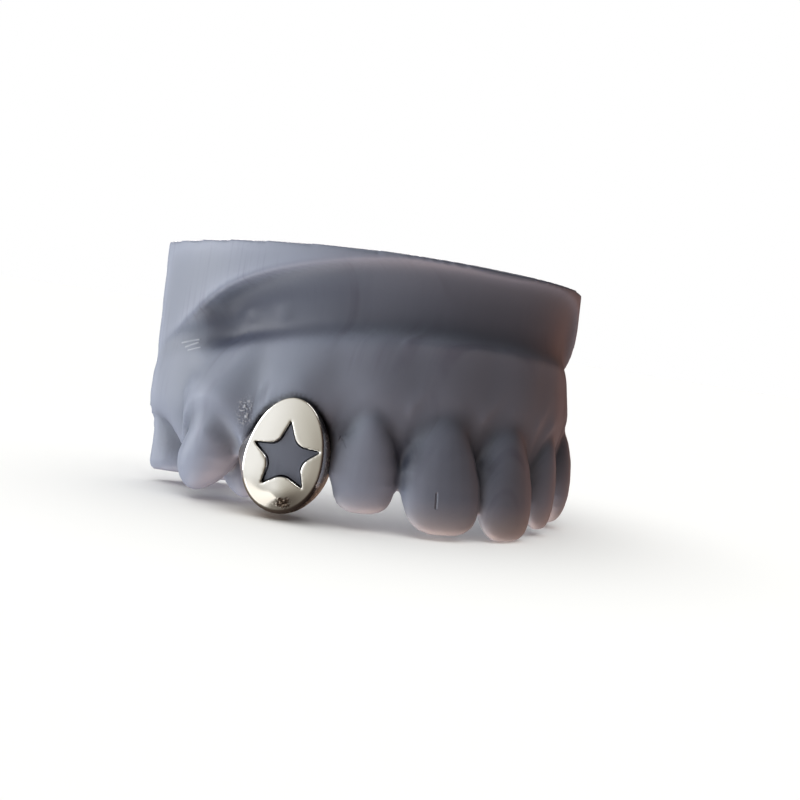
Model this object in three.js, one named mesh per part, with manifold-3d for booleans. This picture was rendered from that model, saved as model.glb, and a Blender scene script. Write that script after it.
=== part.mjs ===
// A star-cut grill cap for one upper canine, on the printed dental cast that carries it.
// Millimetres, +Z up. The cast stands on its tooth tips, as an upper jaw does, with its flat base on top.
// -Y is the front of the mouth and the capped canine is on the -X side.
import * as THREE from "three";
import { mergeVertices } from "three/addons/utils/BufferGeometryUtils.js";
import Module from "manifold-3d";

const wasm = await Module();
wasm.setup();

// Driving dimensions

const SEAT_GAP = 0.3; // clear space between the cap and the cast, all round

// The horseshoe: its outer outline is half a superellipse, drawn straight up to the flat base.
const BASE = {
  halfWidth: 24.1,
  front: -0.2,
  back: 27.2, // plane where both legs are cut off
  top: 27.3, // flat face
  squareness: 2.35, // superellipse exponent: 2 is an ellipse
  wall: 11.5, // thickness of the horseshoe at the flat face
  waist: 15.5, // height where the inner wall turns towards the teeth
  tilt: 4, // degrees from the plane of the tooth tips to the flat face
};

// Crown forms: one row a section, from the tip (rise 0) past the gum line (rise 1) into the gum.
// span is a share of the crown's width, and outer and inner are shares of its depth.
const INCISOR = [
  { rise: 0.0, span: 0.34, outer: 0.06, inner: 0.02 },
  { rise: 0.02, span: 0.56, outer: 0.11, inner: 0.06 },
  { rise: 0.07, span: 0.77, outer: 0.17, inner: 0.1 },
  { rise: 0.15, span: 0.9, outer: 0.23, inner: 0.16 },
  { rise: 0.28, span: 0.98, outer: 0.3, inner: 0.23 },
  { rise: 0.45, span: 0.99, outer: 0.36, inner: 0.33 },
  { rise: 0.65, span: 0.88, outer: 0.4, inner: 0.46 },
  { rise: 0.85, span: 0.68, outer: 0.41, inner: 0.54 },
  { rise: 1.0, span: 0.52, outer: 0.38, inner: 0.55 },
  { rise: 1.35, span: 0.42, outer: 0.24, inner: 0.45 },
];
const CANINE = [
  { rise: 0.0, span: 0.1, outer: 0.05, inner: 0.05 },
  { rise: 0.03, span: 0.3, outer: 0.14, inner: 0.11 },
  { rise: 0.09, span: 0.53, outer: 0.22, inner: 0.18 },
  { rise: 0.18, span: 0.76, outer: 0.29, inner: 0.25 },
  { rise: 0.3, span: 0.93, outer: 0.35, inner: 0.32 },
  { rise: 0.45, span: 1.0, outer: 0.39, inner: 0.4 },
  { rise: 0.65, span: 0.9, outer: 0.41, inner: 0.46 },
  { rise: 0.85, span: 0.68, outer: 0.38, inner: 0.51 },
  { rise: 1.0, span: 0.52, outer: 0.31, inner: 0.52 },
  { rise: 1.35, span: 0.46, outer: 0.24, inner: 0.45 },
];
const CUSP = [
  { rise: 0.0, span: 0.12, outer: 0.08, inner: 0.08 },
  { rise: 0.04, span: 0.36, outer: 0.2, inner: 0.18 },
  { rise: 0.12, span: 0.63, outer: 0.3, inner: 0.28 },
  { rise: 0.25, span: 0.87, outer: 0.39, inner: 0.38 },
  { rise: 0.42, span: 1.0, outer: 0.46, inner: 0.46 },
  { rise: 0.65, span: 0.93, outer: 0.48, inner: 0.5 },
  { rise: 0.85, span: 0.74, outer: 0.46, inner: 0.5 },
  { rise: 1.0, span: 0.56, outer: 0.42, inner: 0.48 },
  { rise: 1.35, span: 0.46, outer: 0.28, inner: 0.4 },
];
const MOLAR = [
  { rise: 0.0, span: 0.62, outer: 0.4, inner: 0.2 },
  { rise: 0.05, span: 0.76, outer: 0.46, inner: 0.3 },
  { rise: 0.15, span: 0.87, outer: 0.49, inner: 0.38 },
  { rise: 0.42, span: 1.0, outer: 0.5, inner: 0.46 },
  { rise: 0.65, span: 0.95, outer: 0.51, inner: 0.5 },
  { rise: 0.85, span: 0.8, outer: 0.54, inner: 0.5 },
  { rise: 1.0, span: 0.66, outer: 0.56, inner: 0.48 },
  { rise: 1.35, span: 0.5, outer: 0.45, inner: 0.4 },
];
const TWO_CUSPED = [CUSP, MOLAR];

// One row a tooth, from the middle of the arch to its end.
// across, back: the crown's axis in plan. facing: degrees out from straight ahead. lift: the tip's height.
// lean: degrees that the tip tips out. skew: how far the tip stands towards the back of the mouth.
// drop, flare: how much lower the tooth on the +X side hangs, and how many degrees more its tip tips out.
// ridge: exponent of the outer face's section, lower is sharper. turn: degrees that this ridge is turned to
// the front. swell: bulge of the bone over the root.
// The last tooth is cut through by the plane at the back.
const TEETH = [
  {
    form: INCISOR, across: 4.6, back: 0.3, facing: 12, width: 8.9, depth: 6.4,
    height: 12.1, lift: 0.4, lean: 14, drop: 0.5, flare: 0, skew: -0.4, turn: 0, ridge: 2.3, swell: 0.2,
  },
  {
    form: INCISOR, across: 11.7, back: 3.8, facing: 28, width: 6.6, depth: 6.2,
    height: 10.5, lift: 1.8, lean: 8, drop: 1.0, flare: 1.5, skew: 0, turn: 0, ridge: 2.1, swell: 0.2,
  },
  {
    form: CANINE, across: 17.2, back: 9.25, facing: 42, width: 7.2, depth: 7.6,
    height: 11.3, lift: 0.95, lean: 2, drop: 0, flare: 6, skew: 0, turn: 0, ridge: 1.9, swell: 0.2,
  },
  {
    form: CUSP, across: 21.8, back: 16.2, facing: 65, width: 6.5, depth: 6.2,
    height: 8.6, lift: 1.95, lean: 0, drop: 0, flare: 0, skew: 1.6, turn: 11, ridge: 1.35, swell: 0.8,
  },
  {
    form: MOLAR, across: 20.6, back: 26.9, facing: 78, width: 11.0, depth: 6.2,
    height: 5.9, lift: 2.9, lean: 4, drop: 0, flare: 0, skew: 0, turn: 0, ridge: 1.8, swell: 0.5,
  },
];
const INNER_CUSP = { setBack: 4.6, widthShare: 0.8, depth: 5.6, shorter: 0.9, lift: -0.6, skew: -1.2 };
const CAPPED = 2; // row of the tooth that wears the cap, on the -X side

// The groove between lip and gum. along counts teeth from the middle of the arch, negative on the -X side.
// edge, where the straight wall of the base ends, and fold, the groove's lower end, are heights.
// hollow is the groove's depth.
const GROOVE = [
  { along: -5.0, edge: 14.6, fold: 13.6, hollow: 0.0 },
  { along: -4.5, edge: 16.3, fold: 15.0, hollow: 0.15 },
  { along: -4.2, edge: 18.2, fold: 16.6, hollow: 0.5 },
  { along: -3.9, edge: 20.2, fold: 17.3, hollow: 1.5 },
  { along: -3.6, edge: 22.1, fold: 17.6, hollow: 3.3 }, // it ends in a pit
  { along: -3.2, edge: 23.7, fold: 18.4, hollow: 3.0 },
  { along: -2.5, edge: 25.4, fold: 19.4, hollow: 2.3 },
  { along: -1.5, edge: 26.8, fold: 20.2, hollow: 1.8 },
  { along: 0.0, edge: 26.9, fold: 20.6, hollow: 1.4 },
  { along: 1.2, edge: 26.7, fold: 20.2, hollow: 1.4 },
  { along: 1.9, edge: 25.2, fold: 19.8, hollow: 1.5 },
  { along: 2.4, edge: 21.8, fold: 19.0, hollow: 1.5 },
  { along: 2.9, edge: 19.0, fold: 17.8, hollow: 0.6 },
  { along: 3.6, edge: 17.5, fold: 16.4, hollow: 0.2 },
  { along: 5.0, edge: 15.5, fold: 14.4, hollow: 0.0 },
];
const COVE_STEPS = 3; // the groove's roof is a quarter of an ellipse
const MERGE = 1e-4; // points nearer to each other than this are one

// The gum, from the tooth table. Shares of the crown are shares of its height.
const GUM = {
  lip: 0.15, // how far its edge stands proud of the tooth
  lipHeight: 0.25, // half the thickness of that edge
  roll: 1.0, // height of its thickest part above the edge
  tuck: 0.9, // how far it runs in under the edge
  papilla: 0.44, // share of the crown that the points between teeth leave free
  pinch: 1.6, // how far those points lie behind the crowns' faces
  arch: 2.2, // exponent of the gum line's arch over each tooth
  foldDrop: 1.5, // height under the groove where the bone comes out again
  foldShare: 0.4, // share of the groove's depth that is left there
  innerLine: 0.8, // share of the crown that is free behind the teeth
  innerScallop: 1.3, // how much lower that line hangs between two teeth
  innerOut: 1.2, // the slope from there to the inner wall starts this far behind the teeth
  innerRise: 2.5, // and this far above their gum line
};
const SKEW_END = 0.65; // share of the crown where the tip's skew has died out
const STEPS_PER_TOOTH = 8; // gum sections along the arch
const CROWN_SPOKES = 20;

// The cap: an egg-shaped thimble. One row a section, from behind the tooth to the crown of its face.
// out is along the tooth's facing. half is the egg's half width, and low and high its reach from the waist.
// nose is how far the section's lowest point lies behind out, as the face follows the tooth back to its tip.
const CAP_WAIST = 5.0; // height of the egg's widest line above the cap's lowest point
const CAP_LEAN = 3; // degrees that the egg's top leans to the middle of the mouth
const CAP_SECTIONS = [
  { out: -4.3, half: 1.7, low: 2.0, high: 1.6, nose: 0 },
  { out: -3.9, half: 2.8, low: 3.0, high: 2.6, nose: 0 },
  { out: -2.7, half: 3.7, low: 4.0, high: 3.6, nose: 0 },
  { out: -0.8, half: 4.2, low: 4.7, high: 4.9, nose: 0 },
  { out: 1.2, half: 4.25, low: 5.0, high: 5.8, nose: 0.2 },
  { out: 2.9, half: 4.05, low: 4.85, high: 6.3, nose: 0.6 },
  { out: 3.8, half: 3.72, low: 4.5, high: 6.4, nose: 0.9 }, // rim
  { out: 4.05, half: 2.6, low: 3.1, high: 4.4, nose: 0.4 }, // the face is a shallow dome
  { out: 4.2, half: 1.3, low: 1.55, high: 2.1, nose: 0.1 },
];
const CAP_SPOKES = 44;
// The tooth inside the cap. tipGap is the metal under its tip, and forward how far that tip is set out.
const CORE = { width: 6.8, depth: 7.2, tipGap: 1.0, forward: 0.85, lean: 5 };

// The star window, in the plane of the cap's face.
const STAR = { points: 5, outer: 3.65, inner: 1.8, turn: -2.6, rise: 5.7, shift: 0.2, cornerShare: 0.45 };

const SILVER = new THREE.MeshStandardMaterial({ color: 0xe9e5db, roughness: 0.18, metalness: 1.0 });
const RESIN = new THREE.MeshStandardMaterial({ color: 0x7b8394, roughness: 0.5, metalness: 0.0 });

// Shapes

const radians = THREE.MathUtils.degToRad;
const mix = THREE.MathUtils.lerp;

// A closed body through rings of points, place(ring, spoke), with a fan over each end.
function loft(rings, spokes, place) {
  const length = rings - 1;
  const geometry = new THREE.CylinderGeometry(1, 1, length, spokes, length);
  const position = geometry.getAttribute("position");
  const old = new THREE.Vector3();
  for (let i = 0; i < position.count; i++) {
    old.fromBufferAttribute(position, i);
    const ring = Math.round(length / 2 - old.y);
    const onAxis = Math.hypot(old.x, old.z) < 0.5;
    const spoke = Math.round((Math.atan2(old.x, old.z) / (2 * Math.PI)) * spokes + spokes) % spokes;
    const point = onAxis ? middle(ring, spokes, place) : place(ring, spoke);
    position.setXYZ(i, point.x, point.y, point.z);
  }
  return geometry;
}

function middle(ring, spokes, place) {
  const sum = new THREE.Vector3();
  for (let spoke = 0; spoke < spokes; spoke++) sum.add(place(ring, spoke));
  return sum.divideScalar(spokes);
}

// A closed geometry as a solid, turned outside out where its rings ran the other way.
function solidOf(geometry) {
  geometry.deleteAttribute("normal");
  geometry.deleteAttribute("uv");
  const merged = mergeVertices(geometry, MERGE);
  const triVerts = new Uint32Array(merged.index.array);
  const make = () =>
    new wasm.Manifold(
      new wasm.Mesh({ numProp: 3, vertProperties: merged.getAttribute("position").array, triVerts }),
    );
  const solid = make();
  if (solid.volume() > 0) return solid;
  return flipped(triVerts, make);
}

function flipped(triVerts, make) {
  for (let i = 0; i < triVerts.length; i += 3) {
    [triVerts[i], triVerts[i + 1]] = [triVerts[i + 1], triVerts[i]];
  }
  return make();
}

function geometryOf(solid) {
  const mesh = solid.getMesh();
  const geometry = new THREE.BufferGeometry();
  geometry.setAttribute("position", new THREE.BufferAttribute(mesh.vertProperties, 3));
  geometry.setIndex(new THREE.BufferAttribute(mesh.triVerts, 1));
  geometry.computeVertexNormals();
  return geometry;
}

const signedPower = (value, exponent) => Math.sign(value) * Math.abs(value) ** exponent;

// A crown facing -Y, over the origin: side is -1 or 1. grow swells it all round, for the cap's cavity.
function crown(tooth, side, grow) {
  const { form, width, depth, height, lift, lean, skew, ridge } = tooth;
  const flare = side > 0 ? tooth.flare : 0;
  return loft(form.length, CROWN_SPOKES, (ring, spoke) => {
    const row = form[ring];
    const angle = (spoke / CROWN_SPOKES) * 2 * Math.PI;
    const facesOut = Math.sin(angle) > 0;
    const roundness = facesOut ? 2 / ridge : 1;
    const reach = (facesOut ? row.outer : row.inner) * depth + grow;
    const z = row.rise * height;
    const tipped = Math.tan(radians(flare)) * Math.max(height - z, 0) - Math.tan(radians(lean)) * z;
    const outwards = signedPower(Math.sin(angle), roundness) * reach + tipped;
    return new THREE.Vector3(
      Math.cos(angle) * (row.span * (width / 2) + grow) + side * skew * Math.max(1 - row.rise / SKEW_END, 0),
      -outwards,
      lift + z - (ring === 0 ? grow : 0),
    );
  });
}

// Turns a local geometry to a tooth's facing and moves it to its place: side is -1 or 1.
function atTooth(geometry, tooth, side) {
  const drop = side > 0 ? tooth.drop : 0;
  return geometry.rotateZ(side * radians(tooth.facing)).translate(side * tooth.across, tooth.back, -drop);
}

// The arch in plan. along runs from 0 in the middle to 1 for each tooth passed, negative on the -X side.

const outlineDepth = BASE.back - BASE.front;
const outlineAngle = (x, y) =>
  Math.atan2(
    ((BASE.back - y) / outlineDepth) ** (BASE.squareness / 2),
    (x / BASE.halfWidth) ** (BASE.squareness / 2),
  );
const toothAngles = TEETH.map((tooth) => outlineAngle(tooth.across, tooth.back));

function archAngle(along) {
  const reach = Math.abs(along);
  const tooth = Math.min(Math.floor(reach), TEETH.length - 1);
  const share = reach - tooth;
  const before = tooth === 0 ? Math.PI / 2 : (toothAngles[tooth - 1] + toothAngles[tooth]) / 2;
  const after = tooth === TEETH.length - 1 ? 0 : (toothAngles[tooth] + toothAngles[tooth + 1]) / 2;
  return share < 0.5
    ? mix(before, toothAngles[tooth], share * 2)
    : mix(toothAngles[tooth], after, share * 2 - 1);
}

// A point of the outline shrunk by inset, and 0 is the base's outer wall.
function outlinePoint(along, inset) {
  const angle = archAngle(along);
  const power = 2 / BASE.squareness;
  const side = along < 0 ? -1 : 1;
  return new THREE.Vector2(
    side * (BASE.halfWidth - inset) * Math.abs(Math.cos(angle)) ** power,
    BASE.back - (outlineDepth - inset) * Math.sin(angle) ** power,
  );
}

// Sizes between the rows of the two tables.
const grooveAt = new THREE.CubicInterpolant(
  GROOVE.map((row) => row.along),
  GROOVE.flatMap(({ edge, fold, hollow }) => [edge, fold, hollow]),
  3,
);
const gumAt = new THREE.CubicInterpolant(
  TEETH.map((_, index) => index + 0.5),
  TEETH.flatMap(({ lift, height, drop }) => [
    lift + GUM.papilla * height,
    lift + GUM.innerLine * height,
    drop,
  ]),
  3,
);

// How far a tooth's face stands outside the base's wall where it meets the gum, and its axis behind it.
function neckOf(tooth, index) {
  const wall = outlinePoint(index + 0.5, 0);
  const facing = radians(tooth.facing);
  const axis = (tooth.across - wall.x) * Math.sin(facing) - (tooth.back - wall.y) * Math.cos(facing);
  const neck = tooth.form.find((row) => row.rise === 1);
  const setBack = Math.tan(radians(tooth.lean)) * tooth.height;
  const innerCusp = TWO_CUSPED.includes(tooth.form) ? INNER_CUSP.setBack : 0;
  return {
    axis: axis - setBack,
    face: axis - setBack + neck.outer * tooth.depth,
    rear: axis - setBack - neck.inner * tooth.depth - innerCusp,
  };
}
const necks = TEETH.map(neckOf);

// The gum's section at one place on the arch, as [distance outside the base's wall, height] pairs.
function gumSection(along) {
  const reach = Math.abs(along);
  const index = Math.min(Math.floor(reach), TEETH.length - 1);
  const tooth = TEETH[index];
  const offCentre = Math.abs((reach - index) * 2 - 1);
  const arch = 1 - offCentre ** GUM.arch; // 1 over the tooth, 0 between two teeth
  const [edge, fold, hollow] = grooveAt.evaluate(along);
  const [point, behind, twinDrop] = gumAt.evaluate(reach);
  const drop = along > 0 ? twinDrop * Math.min(along * 2, 1) : 0;
  const papilla = point - drop;
  const nearest = reach - index < 0.5 ? index - 1 : index + 1;
  const neighbour = necks[THREE.MathUtils.clamp(nearest, 0, TEETH.length - 1)];
  const own = necks[index];
  const between = (key) => (own[key] + neighbour[key]) / 2;
  const blend = (key) => mix(between(key), own[key], Math.cos((offCentre * Math.PI) / 2));
  const crest = blend("face") + GUM.lip;
  const face = crest - GUM.pinch * (1 - arch);
  const axis = blend("axis");
  const rear = blend("rear");
  const line = mix(papilla, tooth.lift + tooth.height - drop, arch);
  const innerLine = behind - drop - GUM.innerScallop * (1 - arch);
  const swell = tooth.swell * arch;
  const cove = Array.from({ length: COVE_STEPS }, (_, step) => {
    const angle = ((step + 1) / COVE_STEPS) * (Math.PI / 2);
    return [-hollow * Math.sin(angle), mix(edge, fold, 1 - Math.cos(angle))];
  });
  const bone = fold - GUM.foldDrop;
  const boneOut = -GUM.foldShare * hollow;
  return [
    [0, BASE.top],
    [0, (BASE.top + edge) / 2],
    [0, edge],
    ...cove,
    [boneOut + swell / 2, bone],
    [(boneOut + crest) / 2 + swell, (bone + line) / 2],
    [face + GUM.lip + swell / 2, line + GUM.roll],
    [face, line + GUM.lipHeight],
    [face - GUM.tuck, line - GUM.lipHeight],
    [axis, papilla],
    [rear + GUM.tuck, innerLine - GUM.lipHeight],
    [rear - GUM.lip, innerLine + GUM.lipHeight],
    [rear - GUM.innerOut, behind - drop + GUM.innerRise],
    [-BASE.wall, BASE.waist],
    [-BASE.wall, BASE.top],
  ];
}

function gum() {
  const rings = 2 * TEETH.length * STEPS_PER_TOOTH + 1;
  const sections = Array.from({ length: rings }, (_, ring) => {
    const along = ring / STEPS_PER_TOOTH - TEETH.length;
    const outer = outlinePoint(along, 0);
    const inwards = outlinePoint(along, BASE.wall).sub(outer).normalize();
    return gumSection(along).map(
      ([out, height]) => new THREE.Vector3(outer.x - inwards.x * out, outer.y - inwards.y * out, height),
    );
  });
  return loft(rings, sections[0].length, (ring, spoke) => sections[ring][spoke]);
}

// Crowns of one side that aren't capped, with the second cusp of the two-cusped teeth.
function crownsOf(side) {
  return TEETH.flatMap((tooth, index) => {
    if (side < 0 && index === CAPPED) return [];
    const outer = atTooth(crown(tooth, side, 0).rotateZ(-side * radians(tooth.turn)), tooth, side);
    if (!TWO_CUSPED.includes(tooth.form)) return [outer];
    const inner = {
      ...tooth,
      width: tooth.width * INNER_CUSP.widthShare,
      depth: INNER_CUSP.depth,
      height: tooth.height - INNER_CUSP.shorter - INNER_CUSP.lift,
      lift: tooth.lift + INNER_CUSP.lift,
      skew: INNER_CUSP.skew,
      ridge: 2,
    };
    return [outer, atTooth(crown(inner, side, 0).translate(0, INNER_CUSP.setBack, 0), tooth, side)];
  });
}

// The cap

const capTooth = TEETH[CAPPED];
const capLow = capTooth.lift; // height of the cap's lowest point
const coreTooth = {
  ...capTooth,
  width: CORE.width,
  depth: CORE.depth,
  height: capTooth.height - CORE.tipGap,
  lift: capLow + CORE.tipGap,
  lean: CORE.lean,
};

// The egg-shaped outside of the cap, swollen by grow where room is cut for it.
function capBody(grow) {
  const last = CAP_SECTIONS.length - 1;
  return loft(CAP_SECTIONS.length, CAP_SPOKES, (ring, spoke) => {
    const row = CAP_SECTIONS[ring];
    const angle = (spoke / CAP_SPOKES) * 2 * Math.PI;
    const reach = Math.sin(angle) > 0 ? row.high : row.low;
    const push = ring === 0 ? -grow : ring === last ? grow : 0;
    const rise = Math.sin(angle) * (reach + grow);
    return new THREE.Vector3(
      Math.cos(angle) * (row.half + grow) + Math.tan(radians(CAP_LEAN)) * rise,
      -(row.out + push - row.nose * Math.min(Math.sin(angle), 0) ** 2),
      capLow + CAP_WAIST + rise,
    );
  });
}

// A star with straight points and rounded inner corners, cut straight through the face.
function starPrism() {
  const corner = (step) => {
    const angle = radians(90 + STAR.turn) - (step * Math.PI) / STAR.points;
    const reach = step % 2 ? STAR.inner : STAR.outer;
    return new THREE.Vector2(Math.cos(angle) * reach, Math.sin(angle) * reach);
  };
  const shape = new THREE.Shape();
  shape.moveTo(...corner(0));
  for (let point = 0; point < STAR.points; point++) {
    const tip = corner(2 * point);
    const inner = corner(2 * point + 1);
    const next = corner(2 * point + 2);
    shape.lineTo(...tip.clone().lerp(inner, 1 - STAR.cornerShare));
    shape.quadraticCurveTo(...inner, ...inner.clone().lerp(next, STAR.cornerShare));
    if (point < STAR.points - 1) shape.lineTo(...next);
  }
  const outermost = Math.max(...CAP_SECTIONS.map((row) => row.out));
  return new THREE.ExtrudeGeometry(shape, { depth: 2 * outermost, bevelEnabled: false, curveSegments: 5 })
    .rotateX(Math.PI / 2) // the star's plane faces -Y, and its top stays up
    .translate(STAR.shift, 0, capLow + STAR.rise);
}

const placed = (geometry) => solidOf(atTooth(geometry, capTooth, -1));
const core = (grow) => placed(crown(coreTooth, -1, grow).translate(0, -CORE.forward, 0));
const capSolid = placed(capBody(0)).subtract(core(SEAT_GAP)).subtract(placed(starPrism()));

// The cast: gum and crowns, with room for the cap, and the core that carries it put back inside.
const crowns = [...crownsOf(-1), ...crownsOf(1)].map(solidOf);
const reach = 2 * BASE.halfWidth;
const behind = new THREE.BoxGeometry(2 * reach, reach, 2 * reach).translate(0, BASE.back + reach / 2, 0);
const castSolid = crowns
  .reduce((whole, next) => whole.add(next), solidOf(gum()))
  .subtract(solidOf(behind))
  .subtract(placed(capBody(SEAT_GAP)))
  .add(core(0));

// The assembly, tilted onto its tooth tips, with the origin under the middle of its box.

function piece(name, solid, material) {
  const mesh = new THREE.Mesh(geometryOf(solid), material);
  mesh.name = name;
  return mesh;
}

const jaw = new THREE.Group();
jaw.add(piece("dental_cast", castSolid, RESIN), piece("tooth_cap", capSolid, SILVER));
jaw.rotation.x = -radians(BASE.tilt);
jaw.updateMatrixWorld(true);
const box = new THREE.Box3().setFromObject(jaw, true);
jaw.position.set(0, -(box.min.y + box.max.y) / 2, -box.min.z);

const grill = new THREE.Group();
grill.add(jaw);

export default grill;
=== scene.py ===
# %% [markdown]
# # A star-cut tooth cap on its printed cast
# The part is a polished silver cap for one canine, seated on a resin print of the upper jaw.
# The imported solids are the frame: they say where each piece is and how big it is.
# This lesson dresses both solids, in the same place and at the same size, and then sets up
# a small photo studio.

# %% Load the frame
import math

import bmesh
import bpy
import numpy as np
from mathutils import Matrix, Vector, kdtree, noise
from mathutils.bvhtree import BVHTree


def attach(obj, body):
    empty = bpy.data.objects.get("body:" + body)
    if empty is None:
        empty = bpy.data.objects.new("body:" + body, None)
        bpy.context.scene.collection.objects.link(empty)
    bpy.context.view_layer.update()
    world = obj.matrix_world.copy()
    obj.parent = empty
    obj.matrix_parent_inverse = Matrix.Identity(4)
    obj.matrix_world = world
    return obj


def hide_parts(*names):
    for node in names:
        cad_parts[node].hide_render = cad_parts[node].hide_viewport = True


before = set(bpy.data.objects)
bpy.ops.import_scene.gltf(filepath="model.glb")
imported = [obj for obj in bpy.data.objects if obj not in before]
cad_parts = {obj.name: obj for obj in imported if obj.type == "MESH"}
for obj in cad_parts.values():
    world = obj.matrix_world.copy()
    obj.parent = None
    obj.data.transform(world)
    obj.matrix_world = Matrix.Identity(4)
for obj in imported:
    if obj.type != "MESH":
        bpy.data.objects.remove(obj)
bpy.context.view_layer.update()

scene = bpy.context.scene
MM = 0.001  # the frame is in metres, and the sizes below are in millimetres
BASE_TILT = math.radians(4)  # the flat base leans this much against the tooth tips
UP = Vector((0, math.sin(BASE_TILT), math.cos(BASE_TILT)))  # square to the base
BACK = Vector((0, math.cos(BASE_TILT), -math.sin(BASE_TILT)))  # square to the cut ends
print("nodes:", sorted(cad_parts))

# %% [markdown]
# ## The cast's skin
# The real cast is one resin print, with no sharp corner where gum meets tooth: liquid resin drains
# into every crease. Its solid is made of flat triangles. Subdividing them would keep their creases,
# so a copy of the solid is merged and given a new even skin of small squares instead (a voxel remesh),
# which can then be smoothed where the print is soft. The edges of its upright walls are noted first,
# because the smoothing has to spare them.

# %% Copy the cast and give it an even skin
VOXEL = 0.295 * MM  # small enough for the groove round the cap
MERGE = 0.001 * MM  # corners closer than this are one
UPRIGHT = 0.02  # a face is a wall when its normal rises less than this
WALL_CORNER = math.radians(20)  # a wall's edge is a corner sharper than this
EDGE_STEPS = 8  # each such edge is noted in this many steps


def settle(piece):
    """Turns what a piece's modifiers show into its mesh, and removes them."""
    shown = piece.evaluated_get(bpy.context.evaluated_depsgraph_get())
    mesh = bpy.data.meshes.new_from_object(shown)
    piece.modifiers.clear()
    piece.data = mesh


def new_piece(name, shape):
    """Makes an object at the origin from a bmesh, and frees the bmesh."""
    mesh = bpy.data.meshes.new(name)
    shape.to_mesh(mesh)
    shape.free()
    piece = bpy.data.objects.new(name, mesh)
    scene.collection.objects.link(piece)
    return piece


def reskin(piece, size):
    """Gives a piece an even skin of squares of one size."""
    skin = piece.modifiers.new("skin", "REMESH")
    skin.mode = "VOXEL"
    skin.voxel_size = size
    settle(piece)


shape = bmesh.new()
shape.from_mesh(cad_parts["dental_cast"].data)
bmesh.ops.remove_doubles(shape, verts=shape.verts, dist=MERGE)
corners = [e for e in shape.edges if e.calc_face_angle() > WALL_CORNER]
wall_edges = [e for e in corners if sum(abs(f.normal @ UP) < UPRIGHT for f in e.link_faces) == 1]
edge_points = []
for edge in wall_edges:
    start, end = (v.co for v in edge.verts)
    edge_points += [start.lerp(end, step / EDGE_STEPS) for step in range(EDGE_STEPS + 1)]
cast = new_piece("printed_cast", shape)
reskin(cast, VOXEL)
print("cast skin:", len(cast.data.polygons), "squares,", len(wall_edges), "wall edges")

# %% [markdown]
# ## Soft gum, firm teeth
# On the print the gum is rounded much more than the teeth, and the base keeps its cut edges.
# A Smooth modifier rounds everything alike, so each corner of the skin gets its own share: very little
# along the cut edges, a little on the crowns and round the cap's seat, and all of it on the gum.
# The shares come from distances: to the flat base, the cut ends, the walls' edges and the cap.

# %% Find the zones
GUM_START, GUM_FULL = 9.0 * MM, 13.5 * MM  # the gum takes over between these heights
FRONT_TEETH, SIDE_TEETH = -6 * MM, 0.0  # from the front teeth back to the side teeth, which are thick
SIDE_DROP = 3.5 * MM  # the gum comes this much lower on the side teeth
EDGE_KEPT, EDGE_SOFT = 0.35 * MM, 1.3 * MM  # distances from an edge where smoothing starts and is whole


def rows_of(piece, what):
    """One row of x, y, z for each corner of a piece: its place (co) or its normal."""
    rows = np.empty(len(piece.data.vertices) * 3)
    piece.data.vertices.foreach_get(what, rows)
    return rows.reshape(-1, 3)


def ramp(values, start, end):
    """0 below start, 1 above end, and a soft rise between them."""
    share = np.clip((values - start) / (end - start), 0, 1)
    return share * share * (3 - 2 * share)


def search_tree(places):
    """A tree that quickly finds the nearest of these places."""
    finder = kdtree.KDTree(len(places))
    for index, place in enumerate(places):
        finder.insert(place, index)
    finder.balance()
    return finder


points = rows_of(cast, "co")
upwards, backwards = points @ np.array(UP), points @ np.array(BACK)
below = upwards.max() - upwards  # distance from the flat base
ahead = backwards.max() - backwards  # distance from the cut ends
walls = search_tree(edge_points)
from_edge = np.array([walls.find(p)[2] for p in points])
shape = bmesh.new()
shape.from_mesh(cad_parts["tooth_cap"].data)
cap_solid = BVHTree.FromBMesh(shape)
shape.free()
from_cap = np.array([cap_solid.find_nearest(p)[3] for p in points])
free = ramp(np.minimum(below, ahead), EDGE_KEPT, EDGE_SOFT)
beside = ramp(points[:, 1], FRONT_TEETH, SIDE_TEETH)
lowered = points[:, 2] + SIDE_DROP * beside
gum = free * ramp(lowered, GUM_START, GUM_FULL)
gum *= ramp(np.minimum(from_edge, from_cap), EDGE_KEPT, EDGE_SOFT)
print("zones:", int((free > 0).sum()), "corners away from the cuts,", int((gum > 0).sum()), "of gum")

# %% [markdown]
# ## Rounding the cast
# The shares go into a vertex group, which the Smooth modifier reads. The whole skin gets a few passes,
# the gum many more, and the hood of gum round the side teeth the most.

# %% Smooth the skin by zones
EDGE_WORN = 0.4  # what the cut edges get, to lose the skin's steps
HOOD_START, HOOD_END = 11.5 * MM, 14 * MM  # the gum's hood round the side teeth lies below these heights
CROWN_PASSES, GUM_PASSES, HOOD_PASSES = 6, 60, 110
PULL = 0.5  # one pass moves a corner this far towards the mean of its neighbours
LEVELS = 10  # the shares are rounded to this many levels, and each level fills the group in one go


def smooth(piece, shares, passes):
    """Rounds a piece's skin, each corner by its own share."""
    group = piece.vertex_groups.new(name="soft")
    for level in range(1, LEVELS + 1):
        chosen = np.flatnonzero(np.round(shares * LEVELS) == level)
        group.add(chosen.tolist(), level / LEVELS, "REPLACE")
    rounding = piece.modifiers.new("rounding", "SMOOTH")
    rounding.factor = PULL
    rounding.iterations = passes
    rounding.vertex_group = group.name
    settle(piece)
    piece.vertex_groups.clear()


hood = gum * beside * (1 - ramp(points[:, 2], HOOD_START, HOOD_END))
smooth(cast, np.maximum(free, EDGE_WORN), CROWN_PASSES)
smooth(cast, gum, GUM_PASSES)
smooth(cast, hood, HOOD_PASSES)
print("smoothed:", len(points), "corners, the hood", int((hood > 0).sum()))
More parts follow.
